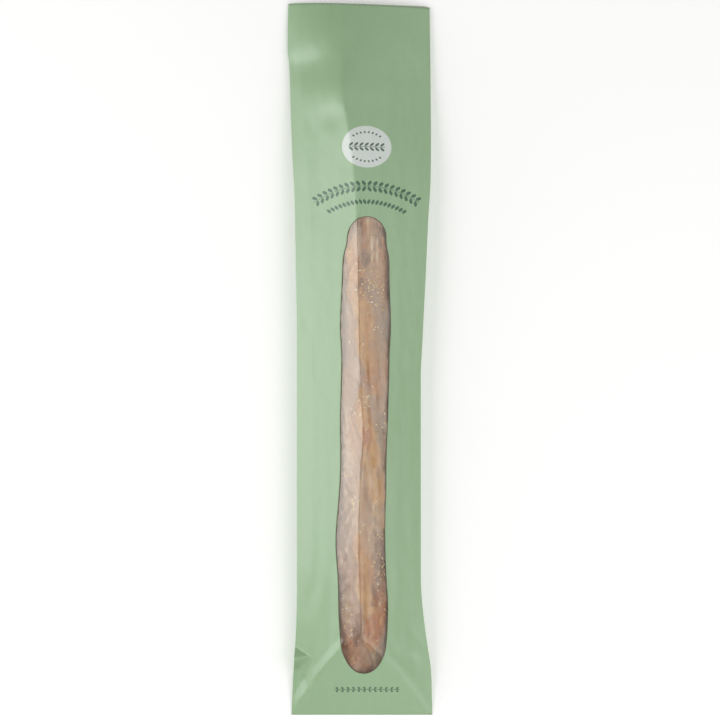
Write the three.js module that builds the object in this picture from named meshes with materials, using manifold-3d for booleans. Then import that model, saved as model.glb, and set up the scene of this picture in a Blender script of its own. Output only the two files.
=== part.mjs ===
// A baguette in its paper bag: a long flat bag with a window of clear film, lying on its back with
// the loaf inside. Millimetres. +X is to the right across the bag, +Y runs along it to the open
// mouth, +Z is up. The origin is on the surface that the bag lies on, at the middle of its length
// and width.

import * as THREE from 'three';
import { mergeVertices } from 'three/addons/utils/BufferGeometryUtils.js';
import Module from 'manifold-3d';

const wasm = await Module();
wasm.setup();

// Driving dimensions

const BAG_LENGTH = 600;
const BAG_END = BAG_LENGTH / 2;
const WALL = 0.3;          // thicker than the real 0.08 mm paper, so that it makes a solid
const FILM = 0.25;         // thicker than the real 0.03 mm film
const GAP = 0.3;           // clearance between neighbours that touch
const MOUTH_SLANT = 0.0275; // how far the mouth's edge falls for each millimetre to the right
const SLANT_START = 150;   // the slant fades in from here to the mouth
const SEAL = 12;           // glued strip at the bag's closed end

const LOAF_FOOT = -275;
const LOAF_HEAD = 222;
const LOAF_HALF_WIDTH = 29.5;
const LOAF_HEIGHT = 38;
const LOAF_REST = WALL + GAP + 0.05; // the loaf's underside, just clear of the paper
const BELLY = 0.36;        // the share of its height at which the loaf is widest
const SIDE_POWER = 0.92;   // 1 would be an ellipse, and less is fuller at the shoulders
const UNDER_POWER = 0.75;  // the same for the curve from the belly to the underside
const UNDER_DEPTH = 1.12;  // how far that curve would reach, before the flat underside cuts it off

// The bag's shape along its length: each line holds a place along Y and the value there, and the
// values between them are joined by a smooth curve.

const LEFT_EDGE = [[-300, -57.8], [-276, -56.7], [-247, -54.9], [-226, -53.6], [-190, -52.8],
  [10, -52.8], [80, -53.8], [134, -54.8], [167, -56.6], [218, -58.6], [248, -59.6], [260, -61], [274, -61],
  [300, -60.4]];
const RIGHT_EDGE = [[-300, 61], [-265, 60], [-234, 55.7], [-201, 51.9], [-184, 51], [-17, 50.9],
  [17, 52.4], [67, 54.9], [115, 57.1], [151, 59.2], [184, 59.6], [250, 59.3], [300, 58.7]];
const CREASE_HEIGHT = [[-300, 1], [-270, 5], [-215, 15], [-170, 17.3], [70, 17.3], [150, 14.5], [225, 7],
  [300, 2]];
const RIDGE_X = [[-300, 1], [-237, 1], [-190, 0.3], [-140, -0.4], [-96, 1], [-64, 2.9], [-30, 1.9],
  [6, 0.3], [54, -0.6], [117, -2], [156, -4.6], [198, -10.2], [215, -13.4], [245, -14.6], [300, -15]];
const RIDGE_HEIGHT = [[-200, 45.4], [120, 45.4], [180, 44], [222, 39], [255, 28], [300, 13]];
const FLOOR_HALF_WIDTH = [[-300, 50], [-260, 44], [-200, 35], [80, 35], [160, 40], [300, 48]];
// How the front rises to its ridge: 1 is two plain facets, and more is a rounder arch.
const FRONT_ARCH = [[-300, 1], [190, 1], [235, 1.3], [268, 2], [300, 2.2]];
// How much the front bows outwards between ridge and crease.
const FRONT_BOW = [[-300, 0], [-220, 1], [-150, 1.2], [180, 1.2], [240, 0.6], [300, 0]];

// At the closed end the front comes down in one sloping face, from the ridge's end to the glued edge.
const FOOT_HEIGHT = 1.5;
const FOOT_SLOPE = 0.6;
const FOOT_TOP = -215;     // it reaches this far up the bag
const FOOT_BLEND = 3;      // how softly it meets the two facets
const FOOT_FADE = 20;      // the length over which its softness and the film's slack fade in

// The window, in plan: its middle line, its half width and how long its round ends are.

const WINDOW_FOOT = -262.7;
const WINDOW_HEAD = 118.6;
const WINDOW_FOOT_ROUND = 22;
const WINDOW_HEAD_ROUND = 18;
const WINDOW_MIDDLE = [[-262.7, 3.2], [-235, 3], [-200, 2.6], [-150, 0.4], [-100, 2.6], [-50, 3.4],
  [0, 4.6], [50, 4.7], [82, 5.1], [118.6, 6.3]];
const WINDOW_HALF_WIDTH = [[-262.7, 16.4], [-250, 17], [-240, 18.6], [-225, 20], [-205, 20.7],
  [-180, 20.3], [-155, 20.7], [-120, 19.8], [-84, 19.2], [-45, 20], [0, 20], [28, 21.2], [60, 20],
  [82, 19.4], [100, 16.4], [118.6, 16.4]];

// The film patch: a rectangle that overlaps the paper round the window.

const PATCH = { left: -27, right: 34, foot: -271, head: 128 };
const FOOT_SLACK = 0.8; // the film hangs this much further in behind the sloping foot

// The loaf's scores: four slanted cuts, each opened by the oven, and the middle of each.

const SCORES = [[8, -206], [10, -86], [2, 33], [-4, 153]];
const SCORE_HALF_LENGTH = 62;
const SCORE_HALF_WIDTH = 7;
const SCORE_TILT = -0.16;
const SCORE_DEPTH = 2.6;

function clamp(value, low, high) {
  return Math.min(high, Math.max(low, value));
}

// A smooth curve through [place, value] pairs that never overshoots them: a cubic Hermite curve
// whose slope is zero at a turning point and the harmonic mean of its neighbours' elsewhere.
function curve(pairs, place) {
  const last = pairs.length - 1;
  const at = clamp(place, pairs[0][0], pairs[last][0]);
  const i = clamp(pairs.findIndex(([end]) => end >= at) - 1, 0, last - 1);
  const grade = (k) => (pairs[k + 1][1] - pairs[k][1]) / (pairs[k + 1][0] - pairs[k][0]);
  const slope = (k) => {
    if (k === 0) return grade(0);
    if (k === last) return grade(last - 1);
    const before = grade(k - 1);
    const after = grade(k);
    return before * after <= 0 ? 0 : (2 * before * after) / (before + after);
  };
  const span = pairs[i + 1][0] - pairs[i][0];
  const t = (at - pairs[i][0]) / span;
  return (1 + 2 * t) * (1 - t) ** 2 * pairs[i][1] + t * (1 - t) ** 2 * span * slope(i)
    + t * t * (3 - 2 * t) * pairs[i + 1][1] + t * t * (t - 1) * span * slope(i + 1);
}

// The height of the bag's back panel: flat on the surface, and curling up to the side creases.
function backHeight(x, y) {
  const flat = curve(FLOOR_HALF_WIDTH, y);
  const edge = x < 0 ? -curve(LEFT_EDGE, y) : curve(RIGHT_EDGE, y);
  const up = clamp((Math.abs(x) - flat) / (edge - flat), 0, 1);
  return curve(CREASE_HEIGHT, y) * up ** 1.6;
}

// The height of the bag's front panel: two facets, slightly bowed, from the creases to the ridge,
// and the sloping face of the closed end.
function frontHeight(x, y) {
  const ridge = curve(RIDGE_X, y);
  const edge = x < ridge ? curve(LEFT_EDGE, y) : curve(RIGHT_EDGE, y);
  const up = 1 - (1 - clamp((x - edge) / (ridge - edge), 0, 1)) ** curve(FRONT_ARCH, y);
  const crease = curve(CREASE_HEIGHT, y);
  const tent = crease + (curve(RIDGE_HEIGHT, y) - crease) * up + curve(FRONT_BOW, y) * 4 * up * (1 - up);
  const foot = FOOT_HEIGHT + FOOT_SLOPE * (y + BAG_END);
  const blend = FOOT_BLEND * clamp((y + BAG_END) / FOOT_FADE, 0, 1);
  return (tent + foot - Math.hypot(tent - foot, blend)) / 2;
}

// How much taller a slanted wall of the given thickness stands than a level one.
function wallRise(height, x, y, thickness) {
  const step = 0.5;
  const slopeX = (height(x + step, y) - height(x - step, y)) / (2 * step);
  const slopeY = (height(x, y + step) - height(x, y - step)) / (2 * step);
  return thickness * Math.hypot(1, slopeX, slopeY);
}

function insideFront(x, y, depth) {
  return frontHeight(x, y) - wallRise(frontHeight, x, y, depth);
}

function insideBack(x, y) {
  return backHeight(x, y) + wallRise(backHeight, x, y, WALL);
}

// Places from low to high, both included.
function spaced(low, high, count) {
  return Array.from({ length: count + 1 }, (_, i) => low + ((high - low) * i) / count);
}

// A closed mesh from an upper and a lower sheet of points over the same grid. The sheets are
// rows of [x, y, z], and they are joined by walls along all four sides.
function closedSheets(upper, lower) {
  const rows = upper.length;
  const columns = upper[0].length;
  const points = [...upper.flat(), ...lower.flat()];
  const faces = [];
  const top = (i, j) => i * columns + j;
  const bottom = (i, j) => rows * columns + i * columns + j;
  const quad = (a, b, c, d) => faces.push(a, b, c, a, c, d);
  for (let i = 0; i < rows - 1; i += 1) {
    for (let j = 0; j < columns - 1; j += 1) {
      quad(top(i, j), top(i, j + 1), top(i + 1, j + 1), top(i + 1, j));
      quad(bottom(i, j), bottom(i + 1, j), bottom(i + 1, j + 1), bottom(i, j + 1));
    }
  }
  for (let i = 0; i < rows - 1; i += 1) {
    quad(top(i, 0), top(i + 1, 0), bottom(i + 1, 0), bottom(i, 0));
    quad(top(i + 1, columns - 1), top(i, columns - 1), bottom(i, columns - 1), bottom(i + 1, columns - 1));
  }
  for (let j = 0; j < columns - 1; j += 1) {
    quad(top(0, j + 1), top(0, j), bottom(0, j), bottom(0, j + 1));
    quad(top(rows - 1, j), top(rows - 1, j + 1), bottom(rows - 1, j + 1), bottom(rows - 1, j));
  }
  const geometry = new THREE.BufferGeometry();
  geometry.setAttribute('position', new THREE.Float32BufferAttribute(points.flat(), 3));
  geometry.setIndex(faces);
  return geometry;
}

function toSolid(geometry) {
  const bare = geometry.clone();
  bare.deleteAttribute('normal');
  bare.deleteAttribute('uv');
  const merged = mergeVertices(bare, 1e-4);
  return new wasm.Manifold(new wasm.Mesh({
    numProp: 3,
    vertProperties: new Float32Array(merged.getAttribute('position').array),
    triVerts: new Uint32Array(merged.getIndex().array),
  }));
}

function toGeometry(solid) {
  const mesh = solid.getMesh();
  const geometry = new THREE.BufferGeometry();
  geometry.setAttribute('position', new THREE.BufferAttribute(new Float32Array(mesh.vertProperties), 3));
  geometry.setIndex(new THREE.BufferAttribute(new Uint32Array(mesh.triVerts), 1));
  geometry.computeVertexNormals();
  return geometry;
}

// The paper bag

const ACROSS = 12; // steps from each crease to the ridge

// The X places of one station: even steps from the left limit to the ridge and on to the right.
function acrossBag(left, right, y) {
  const ridge = curve(RIDGE_X, y);
  return [...spaced(left, ridge, ACROSS), ...spaced(ridge, right, ACROSS).slice(1)];
}

// The bag's mouth is cut on a slant, which fades out towards the loaf.
function slanted(x, y) {
  const share = clamp((y - SLANT_START) / (BAG_END - SLANT_START), 0, 1);
  return y - MOUTH_SLANT * (x - curve(LEFT_EDGE, BAG_END)) * share;
}

// Places along the bag, closer together where the sloping foot folds it.
function stationsBetween(low, high) {
  return [...spaced(low, FOOT_TOP, Math.round((FOOT_TOP - low) / 5)),
    ...spaced(FOOT_TOP, high, Math.round((high - FOOT_TOP) / 14)).slice(1)];
}

// The outside of the bag, as if it were solid.
function bagOutside() {
  const stations = stationsBetween(-BAG_END, BAG_END);
  const rows = stations.map((y) => acrossBag(curve(LEFT_EDGE, y), curve(RIGHT_EDGE, y), y)
    .map((x) => ({ x, y })));
  const upper = rows.map((row) => row.map(({ x, y }, j) => {
    const rim = j === 0 || j === row.length - 1 ? WALL / 2 : 0;
    return [x, slanted(x, y), Math.max(frontHeight(x, y) + rim, backHeight(x, y) + 2 * WALL)];
  }));
  const lower = rows.map((row) => row.map(({ x, y }) => [x, slanted(x, y), backHeight(x, y)]));
  return closedSheets(upper, lower);
}

// Where the inner faces of the front and the back meet, near a crease: found by halving steps.
function innerEdge(y, side) {
  const outer = side < 0 ? curve(LEFT_EDGE, y) : curve(RIGHT_EDGE, y);
  const room = (x) => insideFront(x, y, WALL) - insideBack(x, y) - 2 * GAP;
  let closed = outer;
  let open = curve(RIDGE_X, y);
  for (let i = 0; i < 24; i += 1) {
    const middle = (closed + open) / 2;
    if (room(middle) > 0) open = middle;
    else closed = middle;
  }
  return open;
}

// The room inside the bag, from the glued strip out through the mouth.
function bagInside() {
  const beyond = 8;
  const stations = [...stationsBetween(SEAL - BAG_END, BAG_END), BAG_END + beyond];
  const rows = stations.map((place) => {
    const y = Math.min(place, BAG_END);
    return acrossBag(innerEdge(y, -1), innerEdge(y, 1), y).map((x) => ({ x, y, place }));
  });
  const upper = rows.map((row) => row.map(({ x, y, place }) => [
    x, slanted(x, y) + place - y, insideFront(x, y, WALL)]));
  const lower = rows.map((row) => row.map(({ x, y, place }) => [
    x, slanted(x, y) + place - y, insideBack(x, y)]));
  return closedSheets(upper, lower);
}

// Half the window's width at a place along it, which its round ends bring down to nothing.
function windowHalfWidth(y) {
  const fromFoot = clamp((y - WINDOW_FOOT) / WINDOW_FOOT_ROUND, 0, 1);
  const fromHead = clamp((WINDOW_HEAD - y) / WINDOW_HEAD_ROUND, 0, 1);
  const round = Math.sqrt(1 - (1 - fromFoot) ** 2) * Math.sqrt(1 - (1 - fromHead) ** 2);
  return curve(WINDOW_HALF_WIDTH, y) * round;
}

// The window's outline as a punch that reaches through the front but not down to the back.
function windowPunch() {
  const middle = (WINDOW_FOOT + WINDOW_HEAD) / 2;
  const reach = (WINDOW_HEAD - WINDOW_FOOT) / 2;
  const steps = 60;
  const places = spaced(0, Math.PI, steps).map((turn) => middle + reach * Math.cos(turn));
  const rightSide = places.map((y) => [curve(WINDOW_MIDDLE, y) + windowHalfWidth(y), y]);
  const leftSide = places.slice(1, -1).reverse()
    .map((y) => [curve(WINDOW_MIDDLE, y) - windowHalfWidth(y), y]);
  const shape = new THREE.Shape([...rightSide, ...leftSide].map(([x, y]) => new THREE.Vector2(x, y)));
  const above = 60;
  const below = 7;
  const punch = new THREE.ExtrudeGeometry(shape, { depth: above - below, bevelEnabled: false });
  return punch.translate(0, 0, below);
}

function paperBag() {
  const shell = toSolid(bagOutside()).subtract(toSolid(bagInside()));
  return toGeometry(shell.subtract(toSolid(windowPunch())));
}

// The window film: a thin sheet that follows the inside of the front panel.

function windowFilm() {
  const rows = stationsBetween(PATCH.foot, PATCH.head).map((y) => {
    const ridge = curve(RIDGE_X, y);
    return [...spaced(PATCH.left, ridge, 6), ...spaced(ridge, PATCH.right, 6).slice(1)]
      .map((x) => ({ x, y }));
  });
  const slack = (y) => FOOT_SLACK * clamp((FOOT_TOP - y) / FOOT_FADE + 0.5, 0, 1);
  const sheet = (depth) => rows.map((row) => row.map(({ x, y }) => [
    x, y, insideFront(x, y, depth + slack(y))]));
  return closedSheets(sheet(WALL + GAP), sheet(WALL + GAP + FILM));
}

// The loaf

// The share of the loaf's full girth at a place along it: blunt at the head, longer at the foot.
const LOAF_GIRTH = [[LOAF_FOOT, 0.36], [-272, 0.5], [-262, 0.7], [-250, 0.84], [-234, 0.93], [-205, 0.985],
  [-160, 1], [100, 1], [150, 0.95], [187, 0.84], [206, 0.7], [217, 0.5], [LOAF_HEAD, 0.3]];
// The share of its full height there.
const LOAF_CROWN = [[LOAF_FOOT, 0.3], [-270, 0.4], [-262, 0.53], [-250, 0.72], [-234, 0.9], [-205, 1],
  [110, 1], [155, 0.97], [187, 0.9], [206, 0.81], [217, 0.66], [LOAF_HEAD, 0.48]];

// The middle of the loaf wanders a little from the bag's own middle.
const LOAF_MIDDLE = [[LOAF_FOOT, 1.4], [-190, 0.7], [-140, 0.2], [-64, 2.8], [0, 1.4], [110, -0.8],
  [LOAF_HEAD, -9]];

// How deep the crust is opened at a place: 1 in the middle of a score and 0 outside all of them.
function scoreDepth(x, y) {
  let depth = 0;
  for (const [middleX, middleY] of SCORES) {
    const along = (y - middleY) / SCORE_HALF_LENGTH;
    const aside = (x - middleX - SCORE_TILT * (y - middleY)) / SCORE_HALF_WIDTH;
    const round = 1 - along * along - aside * aside;
    if (round > 0) depth = Math.max(depth, Math.sqrt(round));
  }
  return depth;
}

// The loaf: rings of a round-topped section with a flat underside, closed by a fan at each end.
function baguette() {
  const around = 40;
  const stations = spaced(LOAF_FOOT, LOAF_HEAD, 72);
  const points = [];
  const faces = [];
  for (const y of stations) {
    const girth = curve(LOAF_GIRTH, y);
    const halfWidth = LOAF_HALF_WIDTH * girth;
    const height = LOAF_HEIGHT * curve(LOAF_CROWN, y);
    const belly = BELLY * height;
    for (let j = 0; j < around; j += 1) {
      const turn = (2 * Math.PI * j) / around;
      const side = Math.cos(turn);
      const rise = Math.sin(turn);
      const x = halfWidth * Math.sign(side) * Math.abs(side) ** SIDE_POWER;
      const z = rise >= 0 ? belly + (height - belly) * rise
        : belly - UNDER_DEPTH * belly * Math.abs(rise) ** UNDER_POWER;
      const cut = rise > 0 ? SCORE_DEPTH * scoreDepth(x + curve(LOAF_MIDDLE, y), y) : 0;
      points.push([x + curve(LOAF_MIDDLE, y), y, LOAF_REST + Math.max(z - cut, 0)]);
    }
  }
  const last = stations.length - 1;
  for (let i = 0; i < last; i += 1) {
    for (let j = 0; j < around; j += 1) {
      const next = (j + 1) % around;
      const a = i * around + j;
      const b = i * around + next;
      faces.push(a, a + around, b + around, a, b + around, b);
    }
  }
  const capMiddle = (i) => points.slice(i * around, (i + 1) * around)
    .reduce((sum, point) => sum.map((value, k) => value + point[k] / around), [0, 0, 0]);
  const footMiddle = points.push(capMiddle(0)) - 1;
  const headMiddle = points.push(capMiddle(last)) - 1;
  for (let j = 0; j < around; j += 1) {
    const next = (j + 1) % around;
    faces.push(footMiddle, j, next);
    faces.push(headMiddle, last * around + next, last * around + j);
  }
  const geometry = new THREE.BufferGeometry();
  geometry.setAttribute('position', new THREE.Float32BufferAttribute(points.flat(), 3));
  geometry.setIndex(faces);
  return geometry;
}

function named(name, geometry, settings) {
  const mesh = new THREE.Mesh(geometry, new THREE.MeshStandardMaterial(settings));
  mesh.name = name;
  return mesh;
}

const pack = new THREE.Group();
pack.add(
  named('paper_bag', paperBag(), { color: '#a9c39f', roughness: 0.6, metalness: 0 }),
  named('window_film', windowFilm(), {
    color: '#e6e3dc', roughness: 0.25, metalness: 0, transparent: true, opacity: 0.35,
  }),
  named('baguette', baguette(), { color: '#a86f42', roughness: 0.8, metalness: 0 }),
);

export default pack;
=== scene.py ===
"""A baguette packed in a long paper bag with a window of clear film, lying on a pale floor.

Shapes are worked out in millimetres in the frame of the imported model, and turned to metres as they
go into their meshes: +X is to the right across the bag, +Y runs along it to the open mouth, and
+Z is up. The bag's sides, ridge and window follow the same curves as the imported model's.
"""

import math

import bmesh
import bpy
import numpy as np
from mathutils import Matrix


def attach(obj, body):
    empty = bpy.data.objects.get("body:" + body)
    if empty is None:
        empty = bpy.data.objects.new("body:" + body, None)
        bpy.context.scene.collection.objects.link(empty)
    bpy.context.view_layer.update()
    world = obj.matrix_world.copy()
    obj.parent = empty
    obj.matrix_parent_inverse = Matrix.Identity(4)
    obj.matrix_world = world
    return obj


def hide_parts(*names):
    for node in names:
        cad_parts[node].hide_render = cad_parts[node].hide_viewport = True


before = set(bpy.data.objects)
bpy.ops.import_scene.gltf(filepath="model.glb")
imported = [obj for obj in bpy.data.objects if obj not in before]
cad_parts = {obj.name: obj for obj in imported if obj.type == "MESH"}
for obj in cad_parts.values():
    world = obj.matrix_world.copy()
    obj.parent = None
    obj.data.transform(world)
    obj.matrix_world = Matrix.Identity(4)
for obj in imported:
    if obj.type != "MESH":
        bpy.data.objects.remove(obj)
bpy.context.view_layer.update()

MM = 0.001

# ---------------------------------------------------------------------------
# The bag's shape
# ---------------------------------------------------------------------------

BAG_END = 300.0             # from the middle of the bag to either end
BAG_SIDE = 61.0             # from the middle line to the widest place
MOUTH_SLANT = 0.0275        # how far the mouth's cut falls for each millimetre to the right
SLANT_START = 150.0         # the slant fades in from here to the mouth
PAPER = 0.12                # a little over the real 0.08 mm, so that the cut edge can be seen
FILM = 0.05                 # a little over the real 0.03 mm
FILM_GAP = 0.06             # between the paper and the film

# Each list holds a place along Y and the value there, and curve() joins the values smoothly.
LEFT_EDGE = [(-300, -57.8), (-276, -56.7), (-247, -54.9), (-226, -53.6), (-190, -52.8), (10, -52.8),
             (80, -53.8), (134, -54.8), (167, -56.6), (218, -58.6), (248, -59.6), (260, -61), (274, -61),
             (300, -60.4)]
RIGHT_EDGE = [(-300, 61), (-265, 60), (-234, 55.7), (-201, 51.9), (-184, 51), (-17, 50.9), (17, 52.4),
              (67, 54.9), (115, 57.1), (151, 59.2), (184, 59.6), (250, 59.3), (300, 58.7)]
CREASE_HEIGHT = [(-300, 0.4), (-270, 5), (-215, 15), (-170, 17.3), (70, 17.3), (150, 14.5), (225, 7),
                 (300, 2)]
RIDGE_X = [(-300, 1), (-237, 1), (-190, 0.3), (-140, -0.4), (-96, 1), (-64, 2.9), (-30, 1.9), (6, 0.3),
           (54, -0.6), (117, -2), (156, -4.6), (198, -10.2), (215, -13.4), (245, -14.6), (300, -15)]
RIDGE_HEIGHT = [(-200, 45.4), (120, 45.4), (180, 44), (222, 39), (255, 28), (300, 13)]
FLOOR_HALF_WIDTH = [(-300, 50), (-260, 44), (-200, 35), (80, 35), (160, 40), (300, 48)]
# How a facet rises to the ridge: 1 is flat, and more is a rounder arch.
FRONT_ARCH = [(-300, 1), (190, 1), (235, 1.3), (268, 2), (300, 2.2)]
# How much a facet bows outwards: four times the bow at its middle.
FRONT_BOW = [(-300, 0), (-220, 2.6), (-150, 3.12), (180, 3.12), (240, 1.56), (300, 0)]
RIDGE_ROUND = 0.9           # how softly the two facets meet at the ridge
SHOULDER = (1.3, 0.0)       # a soft fold that runs along the left and right facets, this high
SHOULDER_PLACE = 0.24       # and this far up it
FOOT_HEIGHT = 0.45          # the sloping face at the foot starts this high at the bag's end,
FOOT_SLOPE = 0.627          # and climbs this much for each millimetre along it
HIP_ROUND = 0.5             # how softly it meets the facets at the two hips
PLEAT = (1.8, 0.63)         # a pinched pleat beside the left and right hip, this high,
PLEAT_DROP = 3.2            # where the facet is this far under the foot face,
PLEAT_REACH = 4.6           # and gone where it is this much more or less than that

# The window in plan: its ends, how long their round parts are, its middle line and its half width.
WINDOW_FOOT = -262.7
WINDOW_HEAD = 118.6
WINDOW_FOOT_ROUND = 22.0
WINDOW_HEAD_ROUND = 18.0
WINDOW_MIDDLE = [(-262.7, 3.2), (-235, 3), (-200, 2.6), (-150, 0.4), (-100, 2.6), (-50, 3.4), (0, 4.6),
                 (50, 4.7), (82, 5.1), (118.6, 6.3)]
WINDOW_HALF_WIDTH = [(-262.7, 16.4), (-250, 17), (-240, 18.6), (-225, 20), (-205, 20.7), (-180, 20.3),
                     (-155, 20.7), (-120, 19.8), (-84, 19.2), (-45, 20), (0, 20), (28, 21.2), (60, 20),
                     (82, 19.4), (100, 16.4), (118.6, 16.4)]

# The edges of the film behind it, and how far the glue line shows inside it on the left and on the right;
# that line is coloured dark as a painted shadow of the paper's cut edge, and is wider on the left, where the
# main light comes from.
FILM_LEFT, FILM_RIGHT, FILM_FOOT, FILM_HEAD = -27.0, 34.0, -271.0, 128.0
GLUE_SHADOW_LEFT, GLUE_SHADOW_RIGHT = 0.7, 0.5

# Hollows that handling has left in the front: place, reach across and along, turn, and depth. A
# negative depth is a swelling.
DENTS = [
    (-36, 247, 20, 19, 0.1, 3.6),
    (-23, 203, 7, 11, 0, 1.0),
    (-20, 262, 26, 9, 0.45, 0.5),
    (-40, 288, 5, 16, -0.2, 0.5),
    (-34, 168, 6, 44, 0.0, 0.8),
    (-50, 176, 5, 26, 0.0, -0.4),
    (-44, 29, 4, 9, 0.1, 0.8),
    (-36, 2, 5, 9, 0.0, 0.4),
    (-26, -205, 6, 34, 0.12, 0.9),
    (-41, -196, 5, 16, -0.3, 0.6),
    (38, 232, 12, 20, 0.3, 0.6),
    (24, 262, 16, 9, -0.5, 0.5),
    (42, -215, 8, 14, -0.4, 0.7),
    (46, -254, 5, 10, 0.5, 0.8),
]

# Hollows with sharp folds round them, like a pyramid pushed in: place, reach to the left and to the
# right, reach along, and depth.
FOLDS = [
    (-46, -269, 11, 6, 17, 4.2),
    (46, 246, 16, 12, 22, 0.6),
    (47, -232, 9, 7, 13, 0.9),
]

# The crumpled corner by the foot: a crease from its inner to its outer end, how far the faces above and
# below it reach, and how far the outer end stands up.
CORNER_FOLD = (-41.5, -249), (-56, -249.5), 9, 12.5, 13


def curve(pairs, place):
    """A smooth curve through (place, value) pairs that never overshoots them: cubic pieces with level
    turning points, and the harmonic mean of the slopes on each side elsewhere."""
    at, value = np.array(pairs, float).T
    grade = np.diff(value) / np.diff(at)
    slope = np.concatenate([grade[:1], np.zeros(len(grade) - 1), grade[-1:]])
    product = grade[:-1] * grade[1:]
    total = np.where(product > 0, grade[:-1] + grade[1:], 1)
    slope[1:-1] = np.where(product > 0, 2 * product / total, 0)
    place = np.clip(place, at[0], at[-1])
    i = np.clip(np.searchsorted(at, place) - 1, 0, len(at) - 2)
    span = at[i + 1] - at[i]
    t = (place - at[i]) / span
    return ((1 + 2 * t) * (1 - t) ** 2 * value[i] + t * (1 - t) ** 2 * span * slope[i]
            + t * t * (3 - 2 * t) * value[i + 1] + t * t * (t - 1) * span * slope[i + 1])


def smooth_step(low, high, place):
    """0 before low and 1 past high, and 3 t^2 - 2 t^3 of the way t between them. With low above high it
    falls."""
    t = np.clip((place - low) / (high - low), 0, 1)
    return t * t * (3 - 2 * t)


def soft_least(a, b, blend):
    """The smaller of two heights, rounded where they cross: half of (their sum less the root of their
    difference squared + the blend squared)."""
    return 0.5 * (a + b - np.sqrt((a - b) ** 2 + blend ** 2))


def ripples(coordinates, sizes, seed, waves=28):
    """Smooth unevenness of about unit height: a sum of cosine waves in random directions, whose
    lengths are near the given size in millimetres along each coordinate."""
    chance = np.random.default_rng(seed)
    total = 0
    for _ in range(waves):
        direction = chance.normal(size=len(sizes))
        direction *= chance.uniform(0.7, 1.4) / np.linalg.norm(direction)
        phase = chance.uniform(0, 2 * math.pi)
        total = total + np.cos(phase + sum(2 * math.pi * d * c / s for d, c, s in
                                           zip(direction, coordinates, sizes)))
    return total / math.sqrt(waves / 2)


def dents(x, y):
    """The sum of the hollows: each is depth * e^-(across / wide)^2 - (along / long)^2 on its own turned
    axes."""
    total = 0
    for at_x, at_y, wide, long, turn, depth in DENTS:
        across = (x - at_x) * math.cos(turn) + (y - at_y) * math.sin(turn)
        along = (y - at_y) * math.cos(turn) - (x - at_x) * math.sin(turn)
        total = total + depth * np.exp(-(across / wide) ** 2 - (along / long) ** 2)
    return total


def folds(x, y):
    """The sum of the folded hollows: each is depth * (1 - the greater of across and along), where that is
    above 0."""
    total = 0
    for at_x, at_y, left, right, long, depth in FOLDS:
        across = np.where(x < at_x, (at_x - x) / left, (x - at_x) / right)
        total = total + depth * np.clip(1 - np.maximum(across, np.abs(y - at_y) / long), 0, None)
    return total


def corner_fold(x, y):
    """A crease that runs out to the left edge by the foot, with a flat face on each side of it: height *
    the share of the way out less distance from the crease / reach, with its two hard corners (at the
    crease and where the faces end) rounded off."""
    (in_x, in_y), (out_x, out_y), above, below, high = CORNER_FOLD
    long = math.hypot(out_x - in_x, out_y - in_y)
    step_x, step_y = (out_x - in_x) / long, (out_y - in_y) / long
    out = ((x - in_x) * step_x + (y - in_y) * step_y) / long
    aside = (x - in_x) * step_y - (y - in_y) * step_x
    away = -soft_least(-aside / above, aside / below, 0.15)
    return high * -soft_least(-np.clip(out - away, -1, 1.1), np.zeros_like(out), 0.05)


def back_height(x, y):
    """The back panel: crease height * up ^ 1.6, where up goes from 0 at the edge of the flat floor to 1 at
    the side crease. The crumpled corner lifts it too, by the square of up."""
    flat = curve(FLOOR_HALF_WIDTH, y)
    edge = np.where(x < 0, -curve(LEFT_EDGE, y), curve(RIGHT_EDGE, y))
    up = np.clip((np.abs(x) - flat) / (edge - flat), 0, 1)
    return curve(CREASE_HEIGHT, y) * up ** 1.6 + corner_fold(x, y) * np.where(x < 0, up ** 2, 0)


def front_height(x, y):
    """The front panel. Up = 1 - (distance from the ridge / reach of the facet) ^ arch, and the tent of the
    two facets = crease + (ridge - crease) * up + bow * up * (1 - up) + shoulder. The foot face = its height
    at the end + slope * the way along it, and the lower of tent and foot face counts. The pleat is added
    beside the hips; dents, unevenness and folds are taken off, and fade out at the side creases."""
    ridge, left, right = curve(RIDGE_X, y), curve(LEFT_EDGE, y), curve(RIGHT_EDGE, y)
    crease = curve(CREASE_HEIGHT, y)
    aside = np.sqrt((x - ridge) ** 2 + RIDGE_ROUND ** 2)
    reach = np.where(x < ridge, ridge - left, right - ridge)
    up = 1 - np.clip(aside / reach, 0, 1) ** curve(FRONT_ARCH, y)
    shoulder = (np.where(x < ridge, *SHOULDER)
                * np.minimum(up / SHOULDER_PLACE, (1 - up) / (1 - SHOULDER_PLACE)))
    tent = (crease + (curve(RIDGE_HEIGHT, y) - crease) * up
            + curve(FRONT_BOW, y) * up * (1 - up)
            + shoulder * smooth_step(-235, -190, y) * smooth_step(255, 215, y))
    foot = FOOT_HEIGHT + FOOT_SLOPE * (y + BAG_END)
    height = soft_least(tent, foot, HIP_ROUND * smooth_step(-300, -285, y))
    off_middle = np.abs(foot - tent - PLEAT_DROP)
    pleat = np.where(x < ridge, *PLEAT) * np.clip(1 - off_middle / PLEAT_REACH, 0, None)
    off_window = smooth_step(-13, -18, x) + smooth_step(22, 26, x)
    height = height + pleat * smooth_step(-298, -286, y) * smooth_step(0.03, 0.14, up) * off_window
    give = np.clip(up / 0.12, 0, 1) * smooth_step(-300, -280, y)
    fold_give = np.clip(up / 0.04, 0, 1)
    uneven = (0.11 * ripples((x, y), (16, 80), 3) + 0.05 * ripples((x, y), (9, 26), 5)
              + 0.02 * ripples((x, y), (5, 9), 8))
    return height - give * (dents(x, y) + uneven) - fold_give * folds(x, y) + corner_fold(x, y)


def slant(x, y):
    """How far the mouth's slanted cut moves a point along the bag: -slant * distance from the left side *
    the share of the way from the slant's start to the mouth."""
    share = np.clip((y - SLANT_START) / (BAG_END - SLANT_START), 0, 1)
    return -MOUTH_SLANT * (x + BAG_SIDE) * share


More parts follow.
